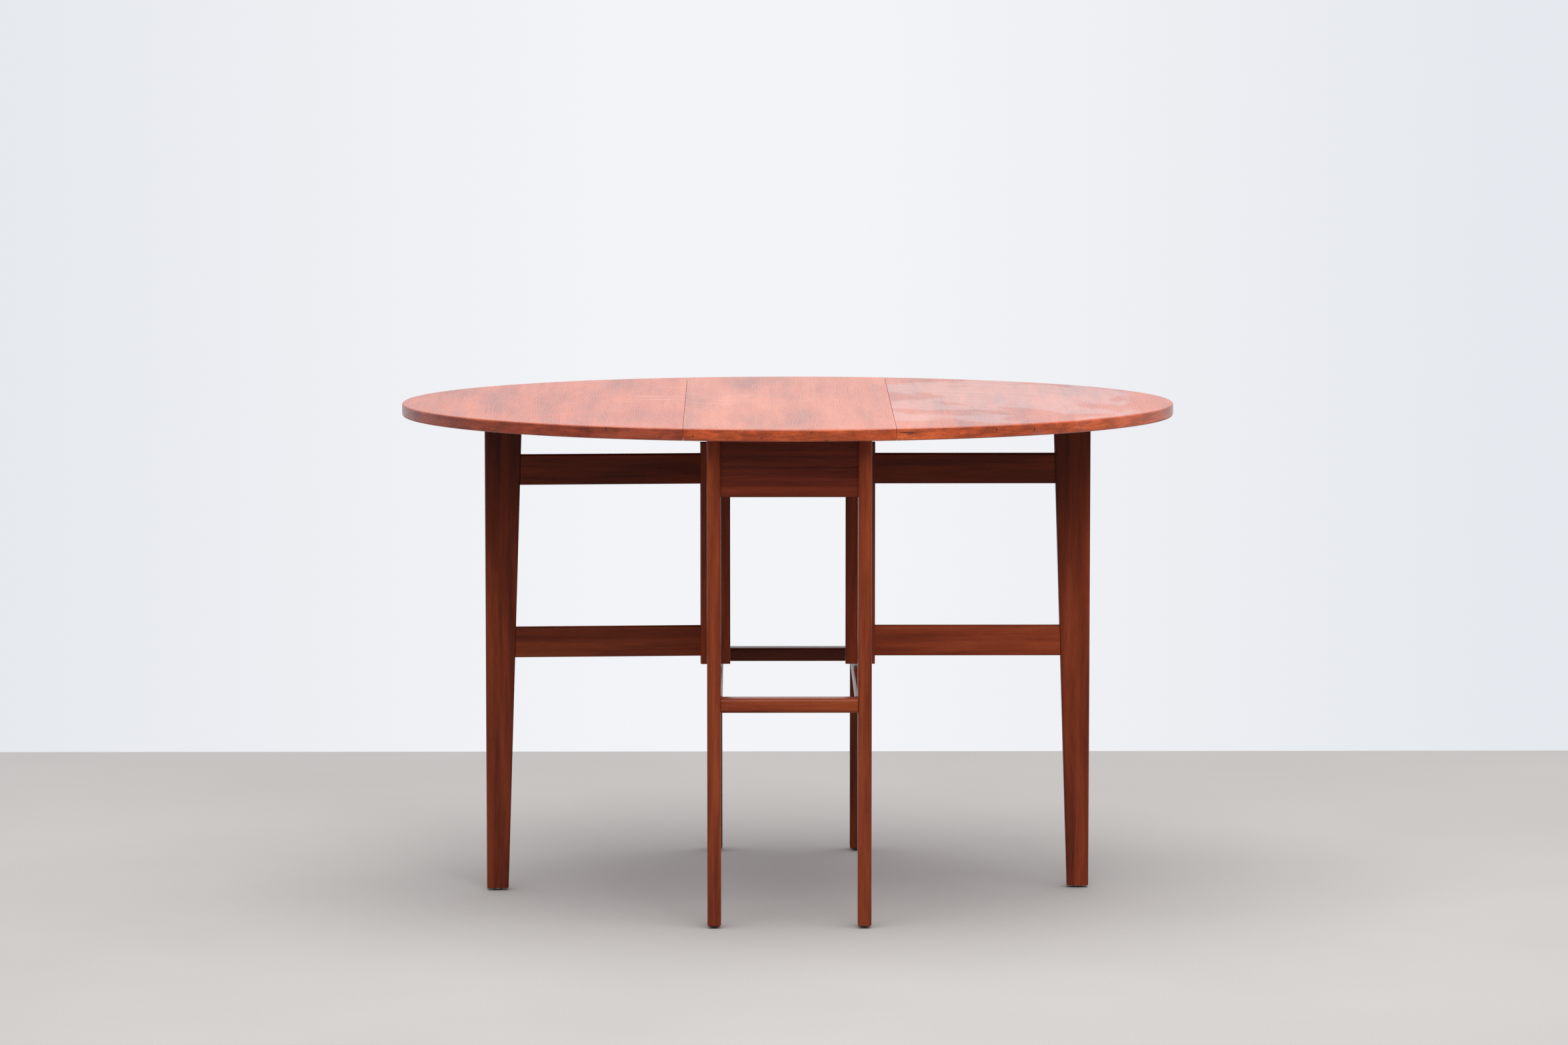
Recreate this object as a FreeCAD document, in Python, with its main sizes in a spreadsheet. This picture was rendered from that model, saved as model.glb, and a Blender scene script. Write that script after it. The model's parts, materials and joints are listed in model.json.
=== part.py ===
import FreeCAD, Part
import os
import re
import Sketcher

# Drop leaf table: an oval top of three boards on a narrow leg frame, with a gate on each side that
# swings out on a vertical pivot and holds up a leaf.
#
# Frame of the model: millimetres, +Z up from the floor, +X along the oval's length, the origin on the
# floor under the middle of the top. The gates are drawn in their own frames: the local Z axis is the
# pivot, local +X points outwards along the gate, and heights are still measured from the floor.

Vector = FreeCAD.Vector

DIMENSIONS = {
    # Top
    "table_height": 730,
    "top_thickness": 18,
    "oval_half_length": 572,
    "oval_half_depth": 408,
    "top_edge_round": 2.5,
    "seam_x": 152,
    "seam_gap": 0.5,
    # Frame legs and the glides under every leg
    "leg_x": 108.5,
    "leg_y": 339,
    "leg_width": 20,
    "leg_depth": 35,
    "leg_round": 6,
    "leg_foot_round": 2.5,
    "glide_height": 3.5,
    "glide_radius": 7,
    "glide_sole_radius": 4.9,
    "glide_bevel_radius": 6.4,
    "glide_bevel_height": 0.7,
    "glide_rim_height": 1.9,
    "glide_shank": 1.5,
    "glide_nail": 14,
    "glide_nail_tip": 2,
    "glide_slack": 0.1,
    # Aprons under the short ends of the frame, and the rails under the top along its sides
    "apron_height": 86,
    "apron_thickness": 18,
    "top_rail_height": 40,
    "top_rail_thickness": 18,
    "rail_round": 2,
    # Stretchers
    "side_stretcher_width": 22,
    "side_stretcher_height": 24,
    "side_stretcher_top": 335,
    "cross_stretcher_depth": 28,
    "cross_stretcher_height": 21,
    "front_stretcher_top": 335,
    "rear_stretcher_top": 317,
    "side_stretcher_round": 3,
    "cross_stretcher_round": 5,
    # Tenons, all of one thickness, the shoulders above and below them, and the slack of a mortise
    # round its tenon and past its end
    "tenon_thickness": 8,
    "tenon_length": 12,
    "apron_shoulder": 12,
    "top_rail_shoulder": 7,
    "stretcher_shoulder": 4,
    "mortise_slack": 0.2,
    "mortise_end_gap": 0.5,
    # How far the tool that cuts a hole starts outside the wood
    "overcut": 1,
    # Gates
    "pivot_x": 108,
    "gate_reach": 342,
    "gate_thickness": 22,
    "stile_width": 44,
    "stile_bottom": 338.5,
    "stile_top": 669.5,
    "gate_rail_height": 44.3,
    "gate_rail_thickness": 19,
    "upper_rail_top": 653,
    "lower_rail_top": 395,
    "gate_tenon_length": 15,
    "gate_rail_shoulder": 7,
    "gate_leg_top_width": 55.4,
    "gate_leg_foot_width": 32.3,
    "gate_leg_round": 4,
    "leaf_clearance": 0.4,
    "left_gate_swing": 3.3,
    # Pivot pins and washers
    "pin_radius": 4,
    "pin_clearance": 0.05,
    "pin_in_frame": 22,
    "pin_in_stile": 30,
    "pin_end_gap": 0.5,
    "washer_radius": 9,
    "washer_thickness": 3.2,
    "washer_clearance": 0.2,
    # Hinges: their middles' distance from the table's middle, and the leaves' parts
    "hinge_y": 200,
    "hinge_length": 50,
    "hinge_drop": 3,
    "plate_thickness": 1.8,
    "panel_plate_width": 30,
    "leaf_plate_width": 42,
    "knuckle_radius": 2.9,
    "knuckle_half": 12.3,
    "knuckle_gap": 0.4,
    "knuckle_clearance": 0.8,
    "hinge_pin_radius": 1.25,
    "hinge_pin_end": 0.5,
    "panel_screw_x": 17,
    "leaf_screw_x": 27,
    "hinge_screw_pitch": 16,
    # Screws
    "screw_radius": 1.7,
    "screw_head_radius": 3.5,
    "screw_hole_radius": 1.85,
    "countersink_radius": 3.9,
    "screw_in_wood": 12,
    "bore_end_gap": 0.6,
    "screw_slot": 0.8,
    "head_sunk": 0.3,
    "hinge_head_sunk": 0.1,
    "top_screw_y": 90,
    "top_screw_pitch": 160,
    "top_screw_recess": 18,
    "recess_radius": 5,
    # Blocks under the leaves that stop the gates square to the frame
    "stop_length": 36,
    "stop_depth": 22,
    "stop_height": 13,
    "stop_gap": 0.5,
    "stop_screw_pitch": 20,
}

# Values that follow from the driving dimensions
UNDERSIDE = "(table_height - top_thickness)"
LEG_INNER = "(leg_x - leg_width / 2)"
LEG_SIDE = "(leg_y - leg_depth / 2)"
SIDE_STRETCHER_X = "(leg_x + leg_width / 2 - side_stretcher_width / 2)"
HINGE_AXIS_Z = f"({UNDERSIDE} - hinge_drop)"
GATE_LEG_TOP = f"({UNDERSIDE} - leaf_clearance)"
GATE_LEG_TAPER = f"((gate_leg_top_width - gate_leg_foot_width) / ({GATE_LEG_TOP} - glide_height))"
GATE_FOOT_X = "(gate_reach - gate_leg_foot_width / 2)"
STOP_X = "(gate_reach - gate_leg_top_width / 2)"
STOP_Y = "(-gate_thickness / 2 - stop_gap - stop_depth / 2)"

# How nearly parallel to an axis an edge runs, as a cosine, and how nearly level with a foot it is
NEARLY_PARALLEL = 0.99
TOLERANCE = 0.001

# Sketch axes on each origin plane: which model axes its x, y and normal follow, and the normal's sign
PLANES = {
    "XY_Plane": ("x", "y", "z", ""),
    "XZ_Plane": ("x", "z", "y", "-"),
    "YZ_Plane": ("y", "z", "x", ""),
}
PLANE_ACROSS = {"X": "YZ_Plane", "Y": "XZ_Plane", "Z": "XY_Plane"}
TURNED_TO = {
    "Y": FreeCAD.Rotation(Vector(1, 0, 0), -90),
    "Z": FreeCAD.Rotation(),
}

doc = FreeCAD.newDocument("drop_leaf_table")
sheet = doc.addObject("Spreadsheet::Sheet", "dims")
for row, (alias, size) in enumerate(DIMENSIONS.items(), start=1):
    sheet.set(f"A{row}", alias)
    sheet.set(f"B{row}", str(size))
    sheet.setAlias(f"B{row}", alias)
doc.recompute()

pieces = []


# ---------------------------------------------------------------- helpers

def sheet_text(text):
    """Point every dimension's name in an arithmetic text at its cell."""
    return re.sub(r"[a-z]+(?:_[a-z]+)*",
                  lambda word: "dims." + word.group() if word.group() in DIMENSIONS else word.group(),
                  text)


def value(text):
    """The present value of an arithmetic text over the dimensions."""
    return float(sheet.evalExpression(sheet_text(text)))


def bind(feature, name, text):
    """Bind one property of a feature to the dimensions."""
    feature.setExpression(name, sheet_text(text))


def bind_point(feature, name, point):
    """Bind the three parts of a position to the dimensions."""
    for axis, text in zip("xyz", point):
        bind(feature, f"{name}.{axis}", text)


def origin_item(body, role):
    """One of a body's own origin planes or axes."""
    return next(item for item in body.Origin.OriginFeatures if item.Role == role)


def new_body(name):
    """A sub-part: a body whose label names its file."""
    body = doc.addObject("PartDesign::Body", name)
    body.Label = name
    pieces.append(body)
    return body


def new_sketch(body, name, plane, centre=("0", "0", "0")):
    """A sketch on an origin plane, moved so that its own origin lies at a point."""
    sketch = body.newObject("Sketcher::SketchObject", f"{body.Name}_{name}")
    sketch.AttachmentSupport = [(origin_item(body, plane), "")]
    sketch.MapMode = "FlatFace"
    across, up, normal, sign = PLANES[plane]
    place = dict(zip("xyz", centre))
    bind_point(sketch, "AttachmentOffset.Base", (place[across], place[up], sign + place[normal]))
    return sketch


def polygon(sketch, corners):
    """Draw a closed outline whose corners are bound to the dimensions."""
    points = [Vector(value(x), value(y), 0) for x, y in corners]
    for start, end in zip(points, points[1:] + points[:1]):
        sketch.addGeometry(Part.LineSegment(start, end))
    for index in range(len(points)):
        following = (index + 1) % len(points)
        sketch.addConstraint(Sketcher.Constraint("Coincident", index, 2, following, 1))
    for index, (point, corner) in enumerate(zip(points, corners)):
        for kind, size, text in (("DistanceX", point.x, corner[0]), ("DistanceY", point.y, corner[1])):
            number = sketch.addConstraint(Sketcher.Constraint(kind, -1, 1, index, 1, size))
            sketch.renameConstraint(number, f"{kind}_{index}")
            bind(sketch, f"Constraints.{kind}_{index}", text)


def rectangle(sketch, width, depth):
    """Draw a rectangle centred on the sketch's origin."""
    right, back = f"({width}) / 2", f"({depth}) / 2"
    left, front = f"-({width}) / 2", f"-({depth}) / 2"
    polygon(sketch, [(left, front), (right, front), (right, back), (left, back)])


def pad_both_ways(body, sketch, length):
    """Pad a sketch by half the length to each side."""
    pad = body.newObject("PartDesign::Pad", f"{sketch.Name}_pad")
    pad.Profile = sketch
    pad.SideType = "Symmetric"
    bind(pad, "Length", length)
    doc.recompute()
    return pad


def round_edges(body, feature, chosen, radius):
    """Round the edges of a feature that a test picks."""
    names = [f"Edge{number}" for number, edge in enumerate(feature.Shape.Edges, start=1) if chosen(edge)]
    fillet = body.newObject("PartDesign::Fillet", f"{feature.Name}_round")
    fillet.Base = (feature, names)
    bind(fillet, "Radius", radius)
    doc.recompute()
    return fillet


def runs_along(direction):
    """A test for straight edges along one axis, within the small slope of a tapered leg."""
    axis = {"X": Vector(1, 0, 0), "Y": Vector(0, 1, 0), "Z": Vector(0, 0, 1)}[direction]

    def test(edge):
        if edge.Curve.TypeId != "Part::GeomLine":
            return False
        return abs(edge.tangentAt(edge.FirstParameter).dot(axis)) > NEARLY_PARALLEL
    return test


def member(name, direction, centre, size, radius):
    """A straight piece of rectangular section with its long edges rounded."""
    body = new_body(name)
    sides = dict(zip("xyz", size))
    across, up, _, _ = PLANES[PLANE_ACROSS[direction]]
    sketch = new_sketch(body, "section", PLANE_ACROSS[direction], centre)
    rectangle(sketch, sides[across], sides[up])
    pad = pad_both_ways(body, sketch, sides[direction.lower()])
    round_edges(body, pad, runs_along(direction), radius)
    return body


def box(body, kind, name, centre, size):
    """Add or cut a box, given by its middle and its size."""
    feature = body.newObject(f"PartDesign::{kind}Box", f"{body.Name}_{name}")
    for side, text in zip(("Length", "Width", "Height"), size):
        bind(feature, side, text)
    corner = [f"({middle}) - ({side}) / 2" for middle, side in zip(centre, size)]
    bind_point(feature, "Placement.Base", corner)
    return feature


def cylinder(body, kind, name, base, radius, length, direction="Z"):
    """Add or cut a cylinder that runs from a point along an axis."""
    feature = body.newObject(f"PartDesign::{kind}Cylinder", f"{body.Name}_{name}")
    feature.Placement.Rotation = TURNED_TO[direction]
    bind(feature, "Radius", radius)
    bind(feature, "Height", length)
    bind_point(feature, "Placement.Base", base)
    return feature


def countersink(body, name, base, depth):
    """Cut a cone that narrows upwards from a screw's head to its shank."""
    feature = body.newObject("PartDesign::SubtractiveCone", f"{body.Name}_{name}")
    bind(feature, "Radius1", "countersink_radius")
    bind(feature, "Radius2", "screw_hole_radius")
    bind(feature, "Height", depth)
    bind_point(feature, "Placement.Base", base)
    return feature


def turned(body, name, foot, profile):
    """Turn a profile, of radius and height corners, about the vertical through a point."""
    sketch = new_sketch(body, name, "XZ_Plane", foot)
    polygon(sketch, profile)
    revolution = body.newObject("PartDesign::Revolution", f"{sketch.Name}_turned")
    revolution.Profile = sketch
    revolution.ReferenceAxis = (sketch, ["V_Axis"])
    revolution.Angle = 360
    doc.recompute()
    return revolution


def repeat(body, features, steps):
    """Repeat features: each step is a mirror plane, a half turn, or a row's axis, length and count."""
    pattern = body.newObject("PartDesign::MultiTransform", f"{body.Name}_{features[0].Name}_set")
    pattern.Originals = features
    transformations = []
    for step in steps:
        if step == "half turn":
            item = body.newObject("PartDesign::PolarPattern", f"{pattern.Name}_turn")
            item.Axis = (origin_item(body, "Z_Axis"), [""])
            item.Angle = 360
            item.Occurrences = 2
        elif isinstance(step, str):
            item = body.newObject("PartDesign::Mirrored", f"{pattern.Name}_mirror")
            item.MirrorPlane = (origin_item(body, step), [""])
        else:
            axis, length, count = step
            item = body.newObject("PartDesign::LinearPattern", f"{pattern.Name}_row")
            item.Direction = (origin_item(body, axis), [""])
            item.Occurrences = count
            bind(item, "Length", length)
        transformations.append(item)
    pattern.Transformations = transformations
    body.Tip = pattern
    doc.recompute()
    return pattern


def place_in_gate(body, side):
    """Move a piece that is drawn in a gate's frame to its gate."""
    body.Placement.Rotation = FreeCAD.Rotation(Vector(0, 0, 1), 1)
    bind(body, "Placement.Rotation.Angle", "0" if side > 0 else "180 + left_gate_swing")
    bind(body, "Placement.Base.x", f"{side} * pivot_x")


def screw_profile(head, tip):
    """Half the outline of a countersunk screw that points up, as radius and height corners."""
    cone_top = f"{head} + screw_head_radius - screw_radius"
    point_start = f"{tip} - screw_radius"
    return [("0", head), ("screw_head_radius", head), ("screw_radius", cone_top),
            ("screw_radius", point_start), ("0", tip)]


def screw_set(name, x, y, head, tip, steps):
    """Slotted countersunk screws that point up, repeated from the first one."""
    body = new_body(name)
    first = turned(body, "screw", (x, y, "0"), screw_profile(head, tip))
    repeat(body, [first], steps)
    slot = box(body, "Subtractive", "slot", (x, y, head),
               ("screw_head_radius * 2 + overcut", "screw_slot", "screw_slot * 2"))
    doc.recompute()
    repeat(body, [slot], steps)


# ---------------------------------------------------------------- top

SCREW_BORE = "(screw_in_wood + bore_end_gap)"
HINGE_ROWS = ("Y_Axis", "hinge_screw_pitch * 2", 3)
FIRST_HINGE_SCREW_Y = "(hinge_y - hinge_screw_pitch)"


def top_board(name, kept_from, kept_to):
    """The part of the oval top between two values of X."""
    body = new_body(name)
    sketch = new_sketch(body, "oval", "XY_Plane", ("0", "0", f"{UNDERSIDE} + top_thickness / 2"))
    oval = sketch.addGeometry(Part.Ellipse(Vector(), value("oval_half_length"), value("oval_half_depth")))
    sketch.exposeInternalGeometry(oval)
    long_axis, short_axis = oval + 1, oval + 2
    sketch.addConstraint(Sketcher.Constraint("Coincident", oval, 3, -1, 1))
    sketch.addConstraint(Sketcher.Constraint("Horizontal", long_axis))
    for axis, text in ((long_axis, "oval_half_length * 2"), (short_axis, "oval_half_depth * 2")):
        number = sketch.addConstraint(Sketcher.Constraint("Distance", axis, value(text)))
        bind(sketch, f"Constraints[{number}]", text)
    feature = pad_both_ways(body, sketch, "top_thickness")
    middle_z = f"{UNDERSIDE} + top_thickness / 2"
    waste = ("oval_half_length * 2", "oval_half_depth * 2 + overcut * 2",
             "top_thickness + overcut * 2")
    if kept_from:
        feature = box(body, "Subtractive", "left_waste",
                      (f"{kept_from} - oval_half_length", "0", middle_z), waste)
    if kept_to:
        feature = box(body, "Subtractive", "right_waste",
                      (f"{kept_to} + oval_half_length", "0", middle_z), waste)
    doc.recompute()
    round_edges(body, feature, lambda edge: edge.Curve.TypeId == "Part::GeomEllipse", "top_edge_round")
    return body


def bore_up(body, name, x, y, depth):
    """A pilot hole into the underside of the top."""
    return cylinder(body, "Subtractive", name, (x, y, f"{UNDERSIDE} - overcut"), "screw_hole_radius",
                    f"{depth} + overcut")


def make_top():
    panel = top_board("centre_panel", "-seam_x", "seam_x")
    hinge_bore = bore_up(panel, "hinge_bore", "seam_x + seam_gap / 2 - panel_screw_x",
                         FIRST_HINGE_SCREW_Y, SCREW_BORE)
    repeat(panel, [hinge_bore], [HINGE_ROWS, "XZ_Plane", "YZ_Plane"])
    frame_bore = bore_up(panel, "frame_bore", "leg_x", "top_screw_y", SCREW_BORE)
    repeat(panel, [frame_bore], [("Y_Axis", "top_screw_pitch", 2), "XZ_Plane", "YZ_Plane"])

    for name, side in (("left_leaf", -1), ("right_leaf", 1)):
        seam = f"{side} * (seam_x + seam_gap)"
        leaf = top_board(name, seam, "") if side > 0 else top_board(name, "", seam)
        hinge_bore = bore_up(leaf, "hinge_bore", f"{side} * (seam_x + seam_gap / 2 + leaf_screw_x)",
                             FIRST_HINGE_SCREW_Y, SCREW_BORE)
        repeat(leaf, [hinge_bore], [HINGE_ROWS, "XZ_Plane"])
        row = ("X_Axis", "stop_screw_pitch", 2)
        first_x = f"{side} * (pivot_x + {STOP_X}) - stop_screw_pitch / 2"
        stop_bore = bore_up(leaf, "stop_bore", first_x, f"{side} * {STOP_Y}", SCREW_BORE)
        repeat(leaf, [stop_bore], [row])


# ---------------------------------------------------------------- frame

MORTISE_LENGTH = "(tenon_length + mortise_end_gap + overcut)"
MORTISE_MIDDLE = f"({MORTISE_LENGTH} / 2 - overcut)"

# Each joint of the frame: its name, the height of its middle and the height of its tenon
CROSS_APRON = ("apron", f"({UNDERSIDE} - apron_height / 2)", "(apron_height - apron_shoulder * 2)")
SIDE_TOP_RAIL = ("top_rail", f"({UNDERSIDE} - top_rail_height / 2)",
                 "(top_rail_height - top_rail_shoulder * 2)")
SIDE_STRETCHER = ("side_stretcher", "(side_stretcher_top - side_stretcher_height / 2)",
                  "(side_stretcher_height - stretcher_shoulder * 2)")
FRONT_STRETCHER = ("cross_stretcher", "(front_stretcher_top - cross_stretcher_height / 2)",
                   "(cross_stretcher_height - stretcher_shoulder * 2)")
REAR_STRETCHER = ("cross_stretcher", "(rear_stretcher_top - cross_stretcher_height / 2)",
                  "(cross_stretcher_height - stretcher_shoulder * 2)")


def glide_bore(leg, x, y):
    """The hole for a glide's nail, up from a leg's foot."""
    cylinder(leg, "Subtractive", "glide_bore", (x, y, "glide_height - overcut"),
             "glide_shank + glide_slack", "glide_nail + glide_nail_tip + overcut * 2")


def round_foot(leg):
    """Round the edges of a leg's foot."""
    bottom = value("glide_height")

    def test(edge):
        return all(abs(corner.Z - bottom) < TOLERANCE for corner in edge.Vertexes)
    round_edges(leg, leg.Tip, test, "leg_foot_round")


def frame_leg(name, side, end, cross_stretcher):
    """A leg with a mortise for each member that meets it, towards the middle of the frame."""
    x, y = f"{side} * leg_x", f"{end} * leg_y"
    middle_z = f"(glide_height + {UNDERSIDE}) / 2"
    leg = member(name, "Z", (x, y, middle_z), ("leg_width", "leg_depth", f"{UNDERSIDE} - glide_height"),
                 "leg_round")
    round_foot(leg)
    for joint, height, tenon_height in (CROSS_APRON, cross_stretcher):
        box(leg, "Subtractive", f"{joint}_mortise",
            (f"{side} * ({LEG_INNER} + {MORTISE_MIDDLE})", y, height),
            (MORTISE_LENGTH, "tenon_thickness + mortise_slack", f"{tenon_height} + mortise_slack"))
    for joint, height, tenon_height in (SIDE_TOP_RAIL, SIDE_STRETCHER):
        mortise_x = f"{side} * leg_x" if joint == "top_rail" else f"{side} * {SIDE_STRETCHER_X}"
        box(leg, "Subtractive", f"{joint}_mortise",
            (mortise_x, f"{end} * ({LEG_SIDE} + {MORTISE_MIDDLE})", height),
            ("tenon_thickness + mortise_slack", MORTISE_LENGTH, f"{tenon_height} + mortise_slack"))
    glide_bore(leg, x, y)
    doc.recompute()


def cross_member(name, end, joint, depth, height, radius):
    """A member from left leg to right leg, with a tenon at each end."""
    _, middle_z, tenon_height = joint
    centre = ("0", f"{end} * leg_y", middle_z)
    length = f"({LEG_INNER} * 2)"
    body = member(name, "X", centre, (length, depth, height), radius)
    box(body, "Additive", "tenons", centre,
        (f"{length} + tenon_length * 2", "tenon_thickness", tenon_height))
    doc.recompute()


def side_member(name, x, joint, width, height, radius):
    """A member from front leg to rear leg, with a tenon at each end."""
    _, middle_z, tenon_height = joint
    centre = (x, "0", middle_z)
    length = f"({LEG_SIDE} * 2)"
    body = member(name, "Y", centre, (width, length, height), radius)
    box(body, "Additive", "tenons", centre,
        ("tenon_thickness", f"{length} + tenon_length * 2", tenon_height))
    doc.recompute()
    return body


def top_rail(name, side):
    """A rail under the top, bored for the gate's upper pin and for the screws that hold the top."""
    x = f"{side} * leg_x"
    bottom = f"({UNDERSIDE} - top_rail_height)"
    rail = side_member(name, x, SIDE_TOP_RAIL, "top_rail_thickness", "top_rail_height", "rail_round")
    cylinder(rail, "Subtractive", "pin_bore", (f"{side} * pivot_x", "0", f"{bottom} - overcut"),
             "pin_radius + pin_clearance", "pin_in_frame + pin_end_gap + overcut")
    recess = cylinder(rail, "Subtractive", "recess", (x, "top_screw_y", f"{bottom} - overcut"),
                      "recess_radius", "top_screw_recess + overcut")
    bore = cylinder(rail, "Subtractive", "bore", (x, "top_screw_y", f"{bottom} - overcut"),
                    "screw_hole_radius", "top_rail_height + overcut * 2")
    cone = countersink(rail, "cone", (x, "top_screw_y", f"{bottom} + top_screw_recess"),
                       "countersink_radius - screw_hole_radius")
    doc.recompute()
    repeat(rail, [recess, bore, cone], [("Y_Axis", "top_screw_pitch", 2), "XZ_Plane"])


def side_stretcher(name, side):
    """A side stretcher, bored for the gate's lower pin."""
    stretcher = side_member(name, f"{side} * {SIDE_STRETCHER_X}", SIDE_STRETCHER, "side_stretcher_width",
                            "side_stretcher_height", "side_stretcher_round")
    cylinder(stretcher, "Subtractive", "pin_bore",
             (f"{side} * pivot_x", "0", "side_stretcher_top - pin_in_frame - pin_end_gap"),
             "pin_radius + pin_clearance", "pin_in_frame + pin_end_gap + overcut")
    doc.recompute()


def glide_profile():
    """Half the outline of a nail glide: a flat sole, a bevelled rim, and the nail."""
    return [("0", "0"), ("glide_sole_radius", "0"), ("glide_bevel_radius", "glide_bevel_height"),
            ("glide_radius", "glide_rim_height"), ("glide_radius", "glide_height"),
            ("glide_shank", "glide_height"), ("glide_shank", "glide_height + glide_nail"),
            ("0", "glide_height + glide_nail + glide_nail_tip")]


def make_frame():
    for side_name, side in (("left", -1), ("right", 1)):
        frame_leg(f"front_{side_name}_leg", side, -1, FRONT_STRETCHER)
        frame_leg(f"rear_{side_name}_leg", side, 1, REAR_STRETCHER)
        top_rail(f"{side_name}_top_rail", side)
        side_stretcher(f"{side_name}_stretcher", side)
    for end_name, end, stretcher in (("front", -1, FRONT_STRETCHER), ("rear", 1, REAR_STRETCHER)):
        cross_member(f"{end_name}_apron", end, CROSS_APRON, "apron_thickness", "apron_height",
                     "rail_round")
        cross_member(f"{end_name}_stretcher", end, stretcher, "cross_stretcher_depth",
                     "cross_stretcher_height", "cross_stretcher_round")

    glides = new_body("frame_glides")
    glide = turned(glides, "glide", ("leg_x", "leg_y", "0"), glide_profile())
    repeat(glides, [glide], ["XZ_Plane", "YZ_Plane"])

    screw_set("top_screws", "leg_x", "top_screw_y",
              f"{UNDERSIDE} - top_rail_height + top_screw_recess + head_sunk",
              f"{UNDERSIDE} + screw_in_wood",
              [("Y_Axis", "top_screw_pitch", 2), "XZ_Plane", "YZ_Plane"])


# ---------------------------------------------------------------- gates

GATE_TENON_HEIGHT = "(gate_rail_height - gate_rail_shoulder * 2)"


def gate_leg_inner(height):
    """Where the tapered inner edge of a gate leg is at a height, measured from the pivot."""
    return f"(gate_reach - gate_leg_top_width + ({GATE_LEG_TOP} - ({height})) * {GATE_LEG_TAPER})"


def gate_rail(name, side, top):
    """A gate rail: square to the stile, cut to the slope of the leg's inner edge at its outer end."""
    body = new_body(name)
    bottom = f"({top} - gate_rail_height)"
    middle_z = f"({top} - gate_rail_height / 2)"
    sketch = new_sketch(body, "outline", "XZ_Plane")
    polygon(sketch, [("stile_width / 2", bottom), (gate_leg_inner(bottom), bottom),
                     (gate_leg_inner(top), top), ("stile_width / 2", top)])
    pad = pad_both_ways(body, sketch, "gate_rail_thickness")
    round_edges(body, pad, runs_along("X"), "rail_round")
    start = "(stile_width / 2 - gate_tenon_length)"
    end = f"({gate_leg_inner(middle_z)} + gate_tenon_length)"
    box(body, "Additive", "tenons", (f"({start} + {end}) / 2", "0", middle_z),
        (f"{end} - {start}", "tenon_thickness", GATE_TENON_HEIGHT))
    place_in_gate(body, side)
    doc.recompute()


def gate_mortise(body, name, face, direction, top):
    """A mortise for a gate rail, in from an upright's face."""
    length = "(gate_tenon_length + mortise_end_gap + overcut * 2)"
    box(body, "Subtractive", name,
        (f"{face} + {direction} * ({length} / 2 - overcut * 2)", "0", f"{top} - gate_rail_height / 2"),
        (length, "tenon_thickness + mortise_slack", f"{GATE_TENON_HEIGHT} + mortise_slack"))


def gate_stile(name, side):
    """The upright that turns on the pivot pins."""
    stile = member(name, "Z", ("0", "0", "(stile_bottom + stile_top) / 2"),
                   ("stile_width", "gate_thickness", "stile_top - stile_bottom"), "rail_round")
    for rail, top in (("upper", "upper_rail_top"), ("lower", "lower_rail_top")):
        gate_mortise(stile, f"{rail}_mortise", "stile_width / 2", -1, top)
    for end, base in (("lower", "stile_bottom - overcut"),
                      ("upper", "stile_top - pin_in_stile - pin_end_gap")):
        cylinder(stile, "Subtractive", f"{end}_pin_bore", ("0", "0", base),
                 "pin_radius + pin_clearance", "pin_in_stile + pin_end_gap + overcut")
    place_in_gate(stile, side)
    doc.recompute()


def gate_leg(name, side):
    """The leg that carries a leaf: upright on its outer edge, tapered on its inner edge."""
    leg = new_body(name)
    sketch = new_sketch(leg, "outline", "XZ_Plane")
    polygon(sketch, [(gate_leg_inner("glide_height"), "glide_height"), ("gate_reach", "glide_height"),
                     ("gate_reach", GATE_LEG_TOP), (gate_leg_inner(GATE_LEG_TOP), GATE_LEG_TOP)])
    pad = pad_both_ways(leg, sketch, "gate_thickness")
    round_edges(leg, pad, runs_along("Z"), "gate_leg_round")
    for rail, top in (("upper", "upper_rail_top"), ("lower", "lower_rail_top")):
        gate_mortise(leg, f"{rail}_mortise", gate_leg_inner(f"{top} - gate_rail_height / 2"), 1, top)
    glide_bore(leg, GATE_FOOT_X, "0")
    place_in_gate(leg, side)
    doc.recompute()


def make_gate(side_name, side):
    gate_stile(f"{side_name}_gate_stile", side)
    gate_rail(f"{side_name}_gate_upper_rail", side, "upper_rail_top")
    gate_rail(f"{side_name}_gate_lower_rail", side, "lower_rail_top")
    gate_leg(f"{side_name}_gate_leg", side)

    glide = new_body(f"{side_name}_gate_glide")
    turned(glide, "glide", (GATE_FOOT_X, "0", "0"), glide_profile())
    place_in_gate(glide, side)

    pivot(side_name, side)
    gate_stop(f"{side_name}_gate_stop", side)


def pivot(side_name, side):
    """The two pins that a gate turns on, and the washer that it stands on."""
    x = f"{side} * pivot_x"
    rail_bottom = f"({UNDERSIDE} - top_rail_height)"
    upper_start = "(stile_top - pin_in_stile)"
    lower_start = "(side_stretcher_top - pin_in_frame)"
    upper_pin = new_body(f"{side_name}_upper_pivot_pin")
    cylinder(upper_pin, "Additive", "pin", (x, "0", upper_start), "pin_radius",
             f"{rail_bottom} + pin_in_frame - {upper_start}")
    lower_pin = new_body(f"{side_name}_lower_pivot_pin")
    cylinder(lower_pin, "Additive", "pin", (x, "0", lower_start), "pin_radius",
             f"stile_bottom + pin_in_stile - {lower_start}")

    washer = new_body(f"{side_name}_pivot_washer")
    cylinder(washer, "Additive", "disc", (x, "0", "side_stretcher_top"), "washer_radius",
             "washer_thickness")
    cylinder(washer, "Subtractive", "hole", (x, "0", "side_stretcher_top - overcut"),
             "pin_radius + washer_clearance", "washer_thickness + overcut * 2")


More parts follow.
